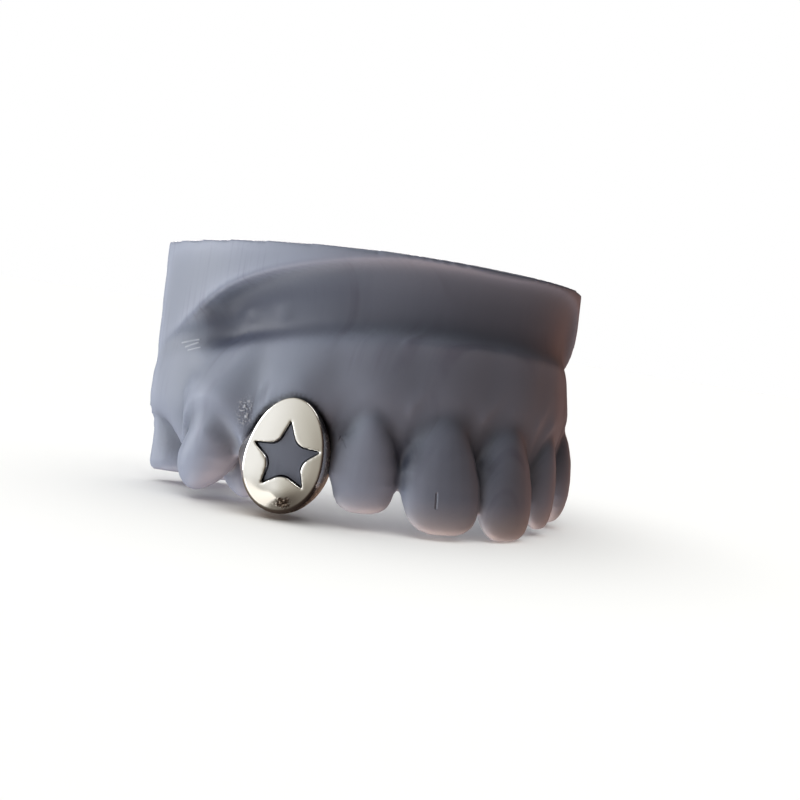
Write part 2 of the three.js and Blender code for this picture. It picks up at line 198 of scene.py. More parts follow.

# %% [markdown]
# ## Where the print stands out
# Cured resin is a little cloudy. Its colour also carries painted light and shade: where the print stands
# out, as in the crowns, it is painted pale, and where it lies deep, dark. To know where that is, a copy is
# smoothed until only the broad form is left, and each corner notes how far it stands out from that form.

# %% Measure the relief
RELIEF_PASSES = 220

softened = bpy.data.objects.new("softened", cast.data.copy())
scene.collection.objects.link(softened)
smooth(softened, np.ones(len(points)), RELIEF_PASSES)
stands_out = rows_of(cast, "co") - rows_of(softened, "co")
relief = (stands_out * rows_of(cast, "normal")).sum(axis=1) / MM
bpy.data.objects.remove(softened)
print("relief from", round(relief.min(), 2), "to", round(relief.max(), 2), "mm")

# %% [markdown]
# ## Where shade and light are painted
# The hollows get painted shade: their resin is painted dark. The largest is the groove under the base, where
# each corner notes how far it lies behind the line of the wall, seen from above. The small hollows are
# a short list of places. The seam round the cap gets a painted shadow, painted black, and the lower
# edges of the front crowns get painted light: they are painted pale, as light from below would make them.

# %% Find the dark and the pale places
BAND = 0.5 * MM, 1.0 * MM  # heights below the base where only walls are met
HOLLOW_START, HOLLOW_FULL = 0.2 * MM, 2.4 * MM  # the groove's painted shade starts and is darkest this far behind the wall
GROOVE_START, GROOVE_FULL = 13 * MM, 15 * MM  # the groove lies above these heights
EDGE_LOW, EDGE_HIGH = 0.3 * MM, 4.4 * MM  # painted light: the front crowns are painted paler below these heights
SEAM_SHADOW_FULL, SEAM_SHADOW_END = 0.35 * MM, 0.8 * MM  # painted shadow: the resin is painted black this close to the cap
SEAM_SHADOW_LOW, SEAM_SHADOW_HIGH = 6.5 * MM, 9.0 * MM  # and only along the gum
# painted shade in the small hollows: a pit at the groove's end, the last tooth, and the gaps between front
# teeth
PAINTED_SHADES = [
    {"place": (-21.7, 6.25, 18.2), "reach": 1.7, "share": 1.2},
    {"place": (-22.6, 9.6, 4.5), "reach": 1.9, "share": 0.9},
    {"place": (-8.5, -11.8, 5.5), "reach": 1.1, "share": 0.8},
    {"place": (-8.1, -11.4, 7.8), "reach": 1.5, "share": 1.2},
    {"place": (-14.7, -7.9, 9.3), "reach": 1.2, "share": 0.9},
    {"place": (0.5, -12.9, 7.6), "reach": 1.3, "share": 0.9},
]

in_band = np.flatnonzero((below > BAND[0]) & (below < BAND[1]))
wall_line = search_tree([(points[i, 0], ahead[i], 0) for i in in_band])
behind = np.array([wall_line.find((x, a, 0))[2] for x, a in zip(points[:, 0], ahead)])
# painted shade: the groove's resin is painted darker the further it lies behind the wall, and round each
# listed place
hollow_shade = ramp(behind, HOLLOW_START, HOLLOW_FULL) * ramp(points[:, 2], GROOVE_START, GROOVE_FULL)
hollow_shade *= below > BAND[0]
for shade in PAINTED_SHADES:
    far = np.linalg.norm(points / MM - shade["place"], axis=1) / shade["reach"]
    hollow_shade = np.maximum(hollow_shade, shade["share"] * np.exp(-far ** 2))
# painted shadow: the resin in the seam by the cap is painted black
paste = (1 - ramp(from_cap, SEAM_SHADOW_FULL, SEAM_SHADOW_END)) * ramp(points[:, 2], SEAM_SHADOW_LOW, SEAM_SHADOW_HIGH)
# painted light: the front crowns' lower edges are painted pale, as light from below would make them
painted_edge_light = (1 - ramp(points[:, 2], EDGE_LOW, EDGE_HIGH)) * (1 - beside)
tones = {"relief": relief, "hollow_shade": hollow_shade, "paste": paste, "painted_edge_light": painted_edge_light}
even_skin = search_tree(points)
print("the groove and", len(PAINTED_SHADES), "small hollows; paste on", int((paste > 0).sum()), "corners")

# %% [markdown]
# ## Small marks on the print
# The print carries traces of its making: two blisters in the groove, three burrs where a support was
# cut off, nicks in two incisors, a swelling where one of these leans to the cap, and a drop of resin
# that dried in wrinkles. Most are finer than the skin's squares, so the skin is divided just there.

# %% Make the skin finer at the marks
# start, end: a mark's two ends, moved to the nearest point of the skin. reach: half its width.
# push: its height.
MARKS = [
    {"start": (-19.59, 2.65, 18.91), "end": (-19.5, 2.4, 18.9), "reach": 0.7, "push": 0.12},
    {"start": (-18.27, -1.27, 19.71), "end": (-18.2, -1.5, 19.7), "reach": 0.85, "push": 0.14},
    {"start": (-23.37, 9.55, 15.11), "end": (-22.49, 7.55, 15.72), "reach": 0.08, "push": 0.05},
    {"start": (-23.34, 8.79, 14.77), "end": (-22.6, 7.46, 15.41), "reach": 0.1, "push": 0.06},
    {"start": (-23.32, 8.26, 14.51), "end": (-22.75, 6.81, 15.04), "reach": 0.07, "push": 0.04},
    {"start": (-5.89, -14.15, 4.7), "end": (-5.85, -14.28, 3.34), "reach": 0.09, "push": -0.15},
    {"start": (-13.98, -8.89, 8.61), "end": (-13.97, -9.39, 8.01), "reach": 0.08, "push": -0.05},
    {"start": (-14.3, -8.3, 8.4), "end": (-14.3, -8.4, 5.6), "reach": 1.0, "push": 0.55},
]
DROP = {"start": (-21.3, -1.7, 10.4), "end": (-21.25, -1.75, 9.0), "reach": 0.6, "push": 0.06}
FINE = 0.3  # marks narrower than this, and the drop's wrinkles, need a finer skin
CUTS = 4  # each edge of the skin is cut this often there
NEAR = 2.5  # a mark has died out at this many times its reach
SQUARE = 0.4 * MM  # a little more than one square of the skin


def from_mark(points, mark):
    """How far points lie from the line between a mark's ends."""
    start, end = np.array(mark["start"]), np.array(mark["end"])
    along = np.clip((points - start) @ (end - start) / ((end - start) @ (end - start)), 0, 1)
    return np.linalg.norm(points - start - along[:, None] * (end - start), axis=1)


shape = bmesh.new()
shape.from_mesh(cast.data)
surface = BVHTree.FromBMesh(shape)
fine = [mark for mark in MARKS if mark["reach"] < FINE] + [DROP]
for mark in MARKS + [DROP]:
    for tip in ("start", "end"):
        mark[tip] = surface.find_nearest(Vector(mark[tip]) * MM)[0]
    mark["reach"] *= MM
points = np.array([v.co for v in shape.verts])
close = np.any([from_mark(points, mark) < NEAR * mark["reach"] + SQUARE for mark in fine], axis=0)
edges = [e for e in shape.edges if close[e.verts[0].index] and close[e.verts[1].index]]
bmesh.ops.subdivide_edges(shape, edges=edges, cuts=CUTS, use_grid_fill=True)
shape.normal_update()
print("divided:", len(edges), "edges at", len(fine), "fine marks")

# %% [markdown]
# ## Raising and sinking the marks
# Each corner moves along its normal by its share of every mark's height, which fades from the mark's
# line like a bell. Noise makes the dried drop's wrinkles. The burrs note that they are pale, as torn resin
# and as a painted highlight, the tops of the wrinkles note a painted glint, and the drop notes that it is
# wet. The tones measured above then pass from the even skin to the finer one.

# %% Push the marks into the skin
WRINKLE = 0.17 * MM  # size of the dried drop's wrinkles
PAINTED_GLINT = 1.8  # painted glint: how pale the wrinkles' tops are painted
FAINT = 0.02  # the wrinkles end where the drop's share is smaller than this
BURRS, TORN = slice(2, 5), 0.5  # the marks that are burrs, and how much paler they are painted, as torn resin and a painted highlight
NEIGHBOURS = 4  # a corner takes the mean tone of this many corners of the even skin


def bell(points, mark):
    """Each point's share of a mark: 1 on its line, and fading away from it."""
    return np.exp(-(from_mark(points, mark) / mark["reach"]) ** 2)


def note(piece, name, values):
    """Stores one number for each corner of a piece, for its material to read."""
    piece.data.attributes.new(name, "FLOAT", "POINT").data.foreach_set("value", values)


points = np.array([v.co for v in shape.verts])
shares = [bell(points, mark) for mark in MARKS]
pushes = sum(mark["push"] * share for mark, share in zip(MARKS, shares))
pales = TORN * np.max(shares[BURRS], axis=0)
wetness = bell(points, DROP)
wet, pale_and_glint = shape.verts.layers.float.new("wet"), shape.verts.layers.float.new("pale_and_glint")
# the pale tint is torn resin and a painted highlight on the burrs, and a painted glint on the wrinkles' tops
for corner, push, pale, share in zip(shape.verts, pushes.tolist(), pales.tolist(), wetness.tolist()):
    wrinkle = noise.noise(corner.co / WRINKLE) if share > FAINT else 0.0
    corner[wet] = share
    corner[pale_and_glint] = max(pale, PAINTED_GLINT * share * wrinkle)
    corner.co += corner.normal * (push + DROP["push"] * share * wrinkle) * MM
shape.to_mesh(cast.data)
shape.free()
found = [even_skin.find_n(v.co, NEIGHBOURS) for v in cast.data.vertices]
nearest = np.array([[index for _, index, _ in near] for near in found])
for name, values in tones.items():
    note(cast, name, values[nearest].mean(axis=1))
print("marks:", len(MARKS) + 1, "on", len(cast.data.vertices), "corners")

# %% [markdown]
# ## The cap's body
# The cap is a thimble with an egg-shaped outline: a nearly flat face in front, a side wall and a round
# back. A sphere is already closed and has its rings in the right order, so it is the easiest start:
# each ring is moved to one section of the egg, taken from a short table. The cap is made in the tooth's
# own axes, in millimetres and facing -Y, and goes to its place in the frame when it is finished.

# %% Sections of the egg
CANINE, FACING = (-17.2, 9.25, 0), math.radians(-42)  # the tooth's place in the jaw, and its turn to the left
CENTRED = 0, -14.0658, 0.1384  # puts the tilted jaw in the middle of its box, with its tips on the table
TOOTH = Matrix.Translation(CANINE) @ Matrix.Rotation(FACING, 4, "Z")
STAND = Matrix.Translation(CENTRED) @ Matrix.Rotation(-BASE_TILT, 4, "X")
TO_FRAME = Matrix.Scale(MM, 4) @ STAND @ TOOTH  # from the tooth's own axes to the frame

# out: distance along the facing. half: half width. low, high: reach below and above the waist.
# nose: how far the lowest point lies behind out, as the face follows the tooth back to its tip.
CAP_SECTIONS = [
    {"out": 4.24, "half": 0.0, "low": 0.0, "high": 0.0, "nose": 0.0},
    {"out": 4.2, "half": 1.3, "low": 1.55, "high": 2.1, "nose": 0.1},
    {"out": 4.05, "half": 2.6, "low": 3.1, "high": 4.4, "nose": 0.4},
    {"out": 3.8, "half": 3.72, "low": 4.5, "high": 6.4, "nose": 0.9},
    {"out": 2.9, "half": 4.05, "low": 4.85, "high": 6.3, "nose": 0.6},
    {"out": 1.2, "half": 4.25, "low": 5.0, "high": 5.8, "nose": 0.2},
    {"out": -0.8, "half": 4.2, "low": 4.7, "high": 4.9, "nose": 0.0},
    {"out": -2.7, "half": 3.7, "low": 4.0, "high": 3.6, "nose": 0.0},
    {"out": -3.9, "half": 2.8, "low": 3.0, "high": 2.6, "nose": 0.0},
    {"out": -4.3, "half": 1.7, "low": 2.0, "high": 1.6, "nose": 0.0},
    {"out": -4.5, "half": 0.0, "low": 0.0, "high": 0.0, "nose": 0.0},
]
RIM = 3  # row of the rim, where the face turns into the side wall


def curve_through(rows, at):
    """Values between a table's rows, on smooth curves that join in a corner at the rim."""
    keys = list(rows[0])
    start, end = (0, RIM) if at <= RIM else (RIM, len(rows) - 1)
    index = min(int(at), end - 1) if at > start else start
    knots = [np.array([rows[min(max(i, start), end)][k] for k in keys]) for i in range(index - 1, index + 3)]
    t = at - index
    before, left, right, after = knots
    bend = 0.5 * (
        2 * left + (right - before) * t
        + (2 * before - 5 * left + 4 * right - after) * t ** 2
        + (3 * left - before - 3 * right + after) * t ** 3
    )
    return dict(zip(keys, bend))


print("sections:", len(CAP_SECTIONS), "of which", RIM, "lie before the rim")

# %% [markdown]
# ## An egg from a sphere
# Each corner of the sphere finds its section by its angle from the front pole. The cap leans a little to
# the middle of the mouth, and its face leans more. Two round lumps are added: one over the tooth's tip,
# and one where the side wall swells towards the next tooth.

# %% Shape a sphere into the egg
CAP_LOW = 0.95  # height of the cap's lowest point
CAP_WAIST = 5.0  # its widest line above that
CAP_LEAN = math.tan(math.radians(3))  # its top leans to the middle of the mouth
FACE_LEAN, FACE_SHIFT = math.tan(math.radians(2)), 0.15  # the face leans more, and sits a little to that side
LEAN_START, LEAN_FULL = 0.5, 3.0  # how far out the face's own lean begins and is whole
RINGS, SPOKES = 96, 160
POLES = Matrix.Rotation(math.pi / 2, 4, "X")  # turns the sphere's poles to the front and the back
NOSE = {"across": 0.2, "rise": -2.9, "push": 0.24, "reach": 1.25}  # a round swelling over the tooth's tip
LOBE = {"out": 1.5, "rise": 0.7, "push": 0.55, "reach": 1.5}  # the side wall swells towards the back teeth


def swelling(lump, aside, above):
    """How far a round lump pushes a point that lies this far beside and above its middle."""
    return lump["push"] * math.exp(-(aside ** 2 + above ** 2) / lump["reach"] ** 2)


shape = bmesh.new()
bmesh.ops.create_uvsphere(shape, u_segments=SPOKES, v_segments=RINGS, radius=1, matrix=POLES)
for corner in shape.verts:
    place = math.acos(max(-1, min(1, -corner.co.y))) / math.pi * (len(CAP_SECTIONS) - 1)
    row = curve_through(CAP_SECTIONS, place)
    turn = math.atan2(corner.co.z, corner.co.x)
    rise = math.sin(turn) * (row["high"] if turn > 0 else row["low"])
    out = row["out"] - row["nose"] * min(math.sin(turn), 0) ** 2
    across = math.cos(turn) * row["half"] + CAP_LEAN * rise
    across += ramp(out, LEAN_START, LEAN_FULL) * (FACE_LEAN * rise + FACE_SHIFT)
    if out > 0:
        out += swelling(NOSE, across - NOSE["across"], rise - NOSE["rise"])
    if across < 0:
        across -= swelling(LOBE, out - LOBE["out"], rise - LOBE["rise"])
    corner.co = (across, -out, CAP_LOW + CAP_WAIST + rise)
bmesh.ops.recalc_face_normals(shape, faces=shape.faces)
egg = BVHTree.FromBMesh(shape)
cap = new_piece("star_cap", shape)
print("egg:", len(cap.data.polygons), "faces")

# %% [markdown]
# ## A clear seam
# The smoothing has filled the narrow seam between gum and cap. On the real thing the cap can be lifted
# off, so every corner of the gum that reached the egg is set back on its outside, a hair away.
# The tooth inside the cap lies deeper, and stays.

# %% Keep the gum off the cap
SEAM = 0.02  # the gum stays this far from the cap
BITE = 0.45  # points deeper in the egg than this belong to the tooth inside it

turned, moved = np.array(TO_FRAME.to_3x3()), np.array(TO_FRAME.translation)
at = (rows_of(cast, "co") - moved) @ np.linalg.inv(turned).T
touching = 0
for index, place in enumerate(at):
    nearest, normal, _, _ = egg.find_nearest(Vector(place), BITE)
    if nearest and (Vector(place) - nearest) @ normal < SEAM:
        at[index] = nearest + normal * SEAM
        touching += 1
cast.data.vertices.foreach_set("co", (at @ turned.T + moved).ravel())
print("set back from the cap:", touching, "corners")

# %% [markdown]
# ## The star window
# A jeweller pierces the star with a saw and files it, so its walls run straight through and its inner
# corners are round. The cutter is a circle of ten points with every second one pulled in. Bevelling
# those five corners rounds them, and one extrusion makes the prism. It widens to the front, as a file
# held at a slant would leave it, so that the window's walls can be seen all round.

# %% Make the star cutter
STAR_TIPS = 5
STAR_OUTER, STAR_INNER = 3.85, 1.56  # from the middle to the tips and to the inner corners
STAR_TURN = math.radians(-2.6)
STAR_CENTRE = Vector((0.42, 0, CAP_LOW + 5.65))
STAR_BACK, STAR_FRONT, FACE_OUT = 2.0, 8.0, 4.2  # the cutter's ends and the cap's face, along the facing
STAR_SLANT = 0.22  # how much the star grows with each millimetre
CORNER_ROUND, CORNER_CUTS = 0.95, 8  # how far an inner corner's round reaches, and in how many steps

shape = bmesh.new()
made = bmesh.ops.create_circle(shape, cap_ends=True, segments=2 * STAR_TIPS, radius=STAR_OUTER)
circle = sorted(made["verts"], key=lambda v: math.atan2(v.co.y, v.co.x))
for step, corner in enumerate(circle):
    angle = math.pi / 2 + STAR_TURN + step * math.pi / STAR_TIPS
    reach = STAR_INNER if step % 2 else STAR_OUTER
    corner.co = (math.cos(angle) * reach, 0, math.sin(angle) * reach)
bmesh.ops.bevel(
    shape, geom=circle[1::2], offset=CORNER_ROUND, offset_type="OFFSET", affect="VERTICES",
    segments=CORNER_CUTS, profile=0.5, material=-1,
)
made = bmesh.ops.extrude_face_region(shape, geom=shape.faces[:])["geom"]
front = [v for v in made if isinstance(v, bmesh.types.BMVert)]
back = [v for v in shape.verts if v not in set(front)]
for verts, out in ((back, STAR_BACK), (front, STAR_FRONT)):
    size = 1 + STAR_SLANT * (out - FACE_OUT)
    bmesh.ops.scale(shape, verts=verts, vec=(size, 1, size))
    bmesh.ops.translate(shape, verts=verts, vec=STAR_CENTRE + Vector((0, -out, 0)))
bmesh.ops.recalc_face_normals(shape, faces=shape.faces)
star = new_piece("star_cutter", shape)
print("star cutter:", len(star.data.polygons), "faces")

# %% [markdown]
# ## The room for the tooth
# Inside, the cap has the shape of its tooth with a little room all round. The second cutter is a stack
# of rings: one ring is extruded upwards again and again, and each copy takes its width and depth from
# a table. The outer face has a soft ridge down its middle, as a canine has.

# %% Make the tooth cutter
SEAT_GAP = 0.3  # room between the tooth and the cap
CORE_WIDTH, CORE_DEPTH, CORE_HEIGHT = 6.8, 7.2, 10.3
CORE_LEAN = math.tan(math.radians(5))  # the tooth leans back as it rises
CORE_LOW = CAP_LOW + 1.0  # height of its tip
CORE_FORWARD = 0.85 + 0.25  # its tip is set out this far, and a little more to make the face thin
CORE_SPOKES = 48
CORE_RIDGE = 1.9  # exponent of its outer face's section: lower is sharper
# rise: share of the height. span: share of the width. outer, inner: shares of the depth.
CORE_SECTIONS = [
    (0.0, 0.1, 0.05, 0.05),
    (0.03, 0.3, 0.14, 0.11),
    (0.09, 0.53, 0.22, 0.18),
    (0.18, 0.76, 0.29, 0.25),
    (0.3, 0.93, 0.35, 0.32),
    (0.45, 1.0, 0.39, 0.4),
    (0.65, 0.9, 0.41, 0.46),
    (0.85, 0.68, 0.38, 0.51),
    (1.0, 0.52, 0.31, 0.52),
    (1.35, 0.46, 0.24, 0.45),
]

shape = bmesh.new()
ring = bmesh.ops.create_circle(shape, cap_ends=True, segments=CORE_SPOKES, radius=1)["verts"]
edges = shape.edges[:]
angles = [math.atan2(v.co.y, v.co.x) for v in ring]
for index, (rise, span, outer, inner) in enumerate(CORE_SECTIONS):
    if index:
        made = bmesh.ops.extrude_edge_only(shape, edges=edges)["geom"]
        edges = [g for g in made if isinstance(g, bmesh.types.BMEdge)]
        new = set(made)
        ring = [next(e.other_vert(v) for e in v.link_edges if e.other_vert(v) in new) for v in ring]
    for v, angle in zip(ring, angles):
        out = max(-math.sin(angle), 0) ** (2 / CORE_RIDGE) if angle < 0 else -math.sin(angle)
        reach = (outer if angle < 0 else inner) * CORE_DEPTH + SEAT_GAP
        height = rise * CORE_HEIGHT
        v.co = (
            math.cos(angle) * (span * CORE_WIDTH / 2 + SEAT_GAP),
            -(out * reach + CORE_FORWARD - CORE_LEAN * height),
            CORE_LOW + height - (SEAT_GAP if index == 0 else 0),
        )
bmesh.ops.edgeloop_fill(shape, edges=edges)
bmesh.ops.recalc_face_normals(shape, faces=shape.faces)
core = new_piece("core_cutter", shape)
print("tooth cutter:", len(core.data.polygons), "faces")

# %% [markdown]
# ## The tooth in the window
# A real cap presses on its tooth, so in the window the tooth lies just behind the face. The solids keep
# a clear gap, which would show as a deep dark star. So the window is filled: the part of the egg inside
# the star, a little smaller than the window and set back behind the face, is the front of the tooth.

# %% Fill the window with the tooth's front
FRONT_DEPTH = 0.4  # the tooth lies this far behind the face
FRONT_SHARE = 0.965  # its star is this much of the window, which leaves a fine dark line round it
FRONT_PAINTED_SHADE = {"relief": -0.15, "hollow_shade": 0.25}  # painted shade: the tooth's front is painted as dark as deep resin in a hollow


def cut_with(piece, cutter, way):
    """Adds a Boolean modifier: DIFFERENCE takes the cutter away, INTERSECT keeps what lies inside it."""
    cut = piece.modifiers.new("cut", "BOOLEAN")
    cut.operation = way
    cut.solver = "EXACT"
    cut.object = cutter


tooth = bpy.data.objects.new("tooth_front", cap.data.copy())
scene.collection.objects.link(tooth)
cut_with(tooth, star, "INTERSECT")
settle(tooth)
size = (1 - STAR_SLANT * FRONT_DEPTH) * FRONT_SHARE
centred = Matrix.Translation(STAR_CENTRE)
shrink = centred @ Matrix.Diagonal((size, 1, size, 1)) @ centred.inverted()
tooth.data.transform(TO_FRAME @ Matrix.Translation((0, FRONT_DEPTH, 0)) @ shrink)
for name, value in FRONT_PAINTED_SHADE.items():
    note(tooth, name, np.full(len(tooth.data.vertices), value))
print("tooth front:", len(tooth.data.polygons), "faces")

# %% [markdown]
# ## Cutting the cap
# Both cutters are taken away with Boolean modifiers, which leave long thin faces. So the cap gets a fine
# even skin, which can be rounded and dented.

# %% Cut the cap
CAP_VOXEL = 0.085

for cutter in (star, core):
    cut_with(cap, cutter, "DIFFERENCE")
settle(cap)
for cutter in (star, core):
    bpy.data.objects.remove(cutter)
reskin(cap, CAP_VOXEL)
print("cut cap:", len(cap.data.polygons), "squares")

# %% [markdown]
# ## Broken edges
# The edges of a real cap are broken with a polishing wheel, and the star's most of all: its right edges
# catch the light as bright lines, and one inner corner on the left is worn to a slope. So each zone gets
# its own number of smoothing passes.

# %% Round the cap's edges
RIM_PASSES, STAR_PASSES, WORN_PASSES = 3, 8, 45
FACE_START, FACE_FULL = 2.4, 3.0  # the front zone begins this far out
STAR_ZONE, ZONE_END = 3.5, 3.8  # distances from the star's centre
WORN_CORNER = STAR_CENTRE + Vector((-1.75, 0, -0.45))
WORN_FULL, WORN_END = 0.5, 1.4  # distances from that corner

at = rows_of(cap, "co")
in_front = ramp(-at[:, 1], FACE_START, FACE_FULL)
from_star = np.hypot(at[:, 0] - STAR_CENTRE.x, at[:, 2] - STAR_CENTRE.z)
from_worn = np.hypot(at[:, 0] - WORN_CORNER.x, at[:, 2] - WORN_CORNER.z)
unworn = ramp(from_worn, WORN_FULL, WORN_END)
smooth(cap, np.ones(len(at)), RIM_PASSES)
smooth(cap, in_front * (1 - ramp(from_star, STAR_ZONE, ZONE_END)), STAR_PASSES)
smooth(cap, in_front * (1 - unworn), WORN_PASSES)
print("rounded:", int((in_front > 0).sum()), "corners of the face")

# %% [markdown]
# ## Grain, painted shade and a flaw
# A wheel can't reach everywhere. The sides keep the grain of the casting. The star's walls and the corner
# along the gum get painted shade: they are painted black, except walls that face the back teeth and the key
# lamp. In the nose there is a ragged casting flaw with pores, with a painted reflection in its dark tint.
# Each corner of the skin notes how much it belongs to the side and how dark it is painted, for the material
# to read, and the flaw is pressed in.

# %% Note the finish and press in the flaw
SHADE_START, SHADE_FULL = 0.08, 0.15  # painted shade: deeper than this, the silver is painted black
LIT_START, LIT_FULL = 0.3, 0.7  # but walls that face the back teeth and the key lamp this much stay bright, as lit walls
SIDE_FULL, SIDE_END = 0.15, 0.5  # a side's normal points out less than this
TOP_START, TOP_FULL = 8.8, 9.6  # painted shadow: the side is painted black above this height, where it meets the gum
LEFT_START, LEFT_FULL = 7.6, 8.4  # and from lower down on the side of the back teeth
FLAW_ACROSS, FLAW_RISE = 0.5, 2.25  # the flaw's place
FLAW_HALF, FLAW_LOW = 0.95, 0.65  # half its width and half its height
FLAW_FULL, FLAW_END = 0.6, 0.9  # shares of its size where it is whole and where it ends
FLAW_DENT, FLAW_REFLECTION_DARK = 0.05, 0.3  # how deep it is, and how dark it is painted, as a painted dark reflection
BAY, BAY_DEEP = 0.35, 0.35  # size of the bays in its outline, and the share of its size that they take
SMALL_BAYS = 0.5  # bays of half that size are this deep beside them
PORE, PORE_DEEP = 0.2, 0.12  # size and depth of its pores


def lumps(points, size):
    """Noise at each point, from about -1 to 1, with lumps of one size."""
    return np.array([noise.noise(Vector(p) / size) for p in points])


at = rows_of(cap, "co")
normals = rows_of(cap, "normal")
depth = np.array([egg.find_nearest(p)[3] for p in at])
bays = lumps(at, BAY) + SMALL_BAYS * lumps(at, BAY / 2)
from_flaw = np.hypot((at[:, 0] - FLAW_ACROSS) / FLAW_HALF, (at[:, 2] - FLAW_RISE) / FLAW_LOW)
flaw = (1 - ramp(from_flaw + BAY_DEEP * bays, FLAW_FULL, FLAW_END)) * (-at[:, 1] > FACE_START)
side = 1 - ramp(-normals[:, 1], SIDE_FULL, SIDE_END)
side[(depth > SHADE_START) & (in_front > 0)] = 0
side = np.maximum(side, flaw)
on_left = at[:, 0] < 0
# painted shadow: where the side meets the gum it is painted black
high = np.maximum(ramp(at[:, 2], TOP_START, TOP_FULL), ramp(at[:, 2], LEFT_START, LEFT_FULL) * on_left)
# painted shade: deep places and the star's walls are painted black, except where worn and where lit
recess_shade = ramp(depth, SHADE_START, SHADE_FULL) * unworn
recess_shade *= 1 - in_front * ramp(-normals[:, 0], LIT_START, LIT_FULL)
note(cap, "side", side)
# one attribute holds painted shade, painted shadow and the flaw's painted dark reflection
note(cap, "painted_dark", np.maximum.reduce([recess_shade, FLAW_REFLECTION_DARK * flaw, side * high]))
at[:, 1] += flaw * (FLAW_DENT + PORE_DEEP * lumps(at, PORE))
cap.data.vertices.foreach_set("co", at.ravel())
cap.data.transform(TO_FRAME)
print("cap:", int((flaw > 0).sum()), "corners in the flaw, box", [round(x / MM, 2) for x in cap.dimensions])

# %% [markdown]
# ## Riding on the frame
# Each dressed piece stands for its solid, which is then hidden, and moves with the part's one body.
# The front of the tooth belongs to the cast, so it stands for the same solid as the cast does.

# %% Tie the pieces to the frame
SHARP = math.radians(40)  # only the tooth's front has edges sharper than this

for piece, node_name, slot in (
    (cast, "dental_cast", "resin"), (tooth, "dental_cast", "resin"), (cap, "tooth_cap", "silver"),
):
    piece.data.shade_smooth()
    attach(piece, "root")
    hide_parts(node_name)
tooth.data.set_sharp_from_angle(angle=SHARP)
print("tied:", cast.name, tooth.name, cap.name)

# %% [markdown]
# ## Printing resin
# The cast is a grey photopolymer, cured in thin layers. It is satin, a little cloudy, and lets some light
# in at thin edges. First its colour, which carries painted light and shade: two tones by the relief, dark
# where it lies deep and pale where it stands out, over which the painted shade and light found above are
# mixed one by one. Clouds of pigment make the result a little uneven.

# %% Resin colour
def linear(code):
    """An sRGB hex colour as linear red, green, blue and alpha."""
    parts = [int(code[i:i + 2], 16) / 255 for i in (1, 3, 5)]
    return [p / 12.92 if p <= 0.04045 else ((p + 0.055) / 1.055) ** 2.4 for p in parts] + [1.0]


def add(tree, kind, inputs=None, **settings):
    """Adds a node. settings are its properties, inputs its sockets' values or the sockets that feed them."""
    made = tree.nodes.new("ShaderNode" + kind)
    for name, value in settings.items():
        setattr(made, name, value)
    for name, value in (inputs or {}).items():
        if isinstance(value, bpy.types.NodeSocket):
            tree.links.new(value, made.inputs[name])
        else:
            made.inputs[name].default_value = value
    return made


def new_material(name, *pieces):
    """An empty node material on some pieces. Gives its tree."""
    material = bpy.data.materials.new(name)
    material.use_nodes = True
    material.node_tree.nodes.clear()
    for piece in pieces:
        piece.data.materials.clear()
        piece.data.materials.append(material)
    return material.node_tree


FIRST, SECOND, MIXED = 6, 7, 2  # numbers of a Mix node's colour sockets, because their names repeat
DEEP, STANDING = -0.15, 0.3  # relief in millimetres where the two tones are reached
# painted shade and light: resin that lies deep is painted with the first tone, resin that stands out with the
# second
RESIN_SHADED, RESIN_LIT = "#656c7a", "#838a9b"
# painted shade in the hollows, a painted shadow in the seam by the cap, and painted light on the front crowns'
# lower edges
PAINTED_LIGHT_AND_SHADE = [("hollow_shade", "#434858"), ("paste", "#24262c"), ("painted_edge_light", "#a09c9f")]
CLOUD = 9 * MM  # size of the clouds of pigment

# Printing resin: a cured photopolymer. A blue-grey, satin skin with cloudy pigment and fine layer lines.
tree = new_material("printing_resin", cast, tooth)
where = add(tree, "TexCoord").outputs["Object"]
relief = add(tree, "Attribute", attribute_name="relief").outputs["Fac"]
share = add(tree, "MapRange", {"Value": relief, "From Min": DEEP, "From Max": STANDING}).outputs[0]
tones = {FIRST: linear(RESIN_SHADED), SECOND: linear(RESIN_LIT)}
colour = add(tree, "Mix", {"Factor": share, **tones}, data_type="RGBA").outputs[MIXED]
for name, tone in PAINTED_LIGHT_AND_SHADE:
    share = add(tree, "Attribute", attribute_name=name).outputs["Fac"]
    tones = {FIRST: colour, SECOND: linear(tone)}
    colour = add(tree, "Mix", {"Factor": share, **tones}, data_type="RGBA").outputs[MIXED]
clouds = add(tree, "TexNoise", {"Vector": where, "Scale": 1 / CLOUD, "Detail": 3.0}).outputs["Fac"]
cloudy = add(tree, "MapRange", {"Value": clouds, "To Min": 0.92, "To Max": 1.08}).outputs[0]
colour = add(tree, "VectorMath", {0: colour, "Scale": cloudy}, operation="SCALE").outputs[0]
print("resin colour:", len(tree.nodes), "nodes")

# %% [markdown]
# ## Layers and gloss
# The print's layers show as faint streaks that run round the cast at one distance from its cut ends,
# because it was printed standing on them. They come and go in patches. Torn resin is pale; the same tint
# also paints highlights on the burrs and glints on the dried drop, which is glossier than the rest.

# %% Resin layers and surface
STREAK, STREAK_LONG = 0.5 * MM, 25 * MM  # width and length of a streak
PATCH = 5 * MM  # the streaks come and go over this length
GRIT = 0.25 * MM  # a fine unevenness of the skin
# the second tint is torn resin, and also painted highlights on the burrs and painted glints on the drop
STREAK_TINT, PALE_AND_GLINT_TINT = "#d4cad2", "#c4c8d0"
WET_ROUGHNESS = 0.15

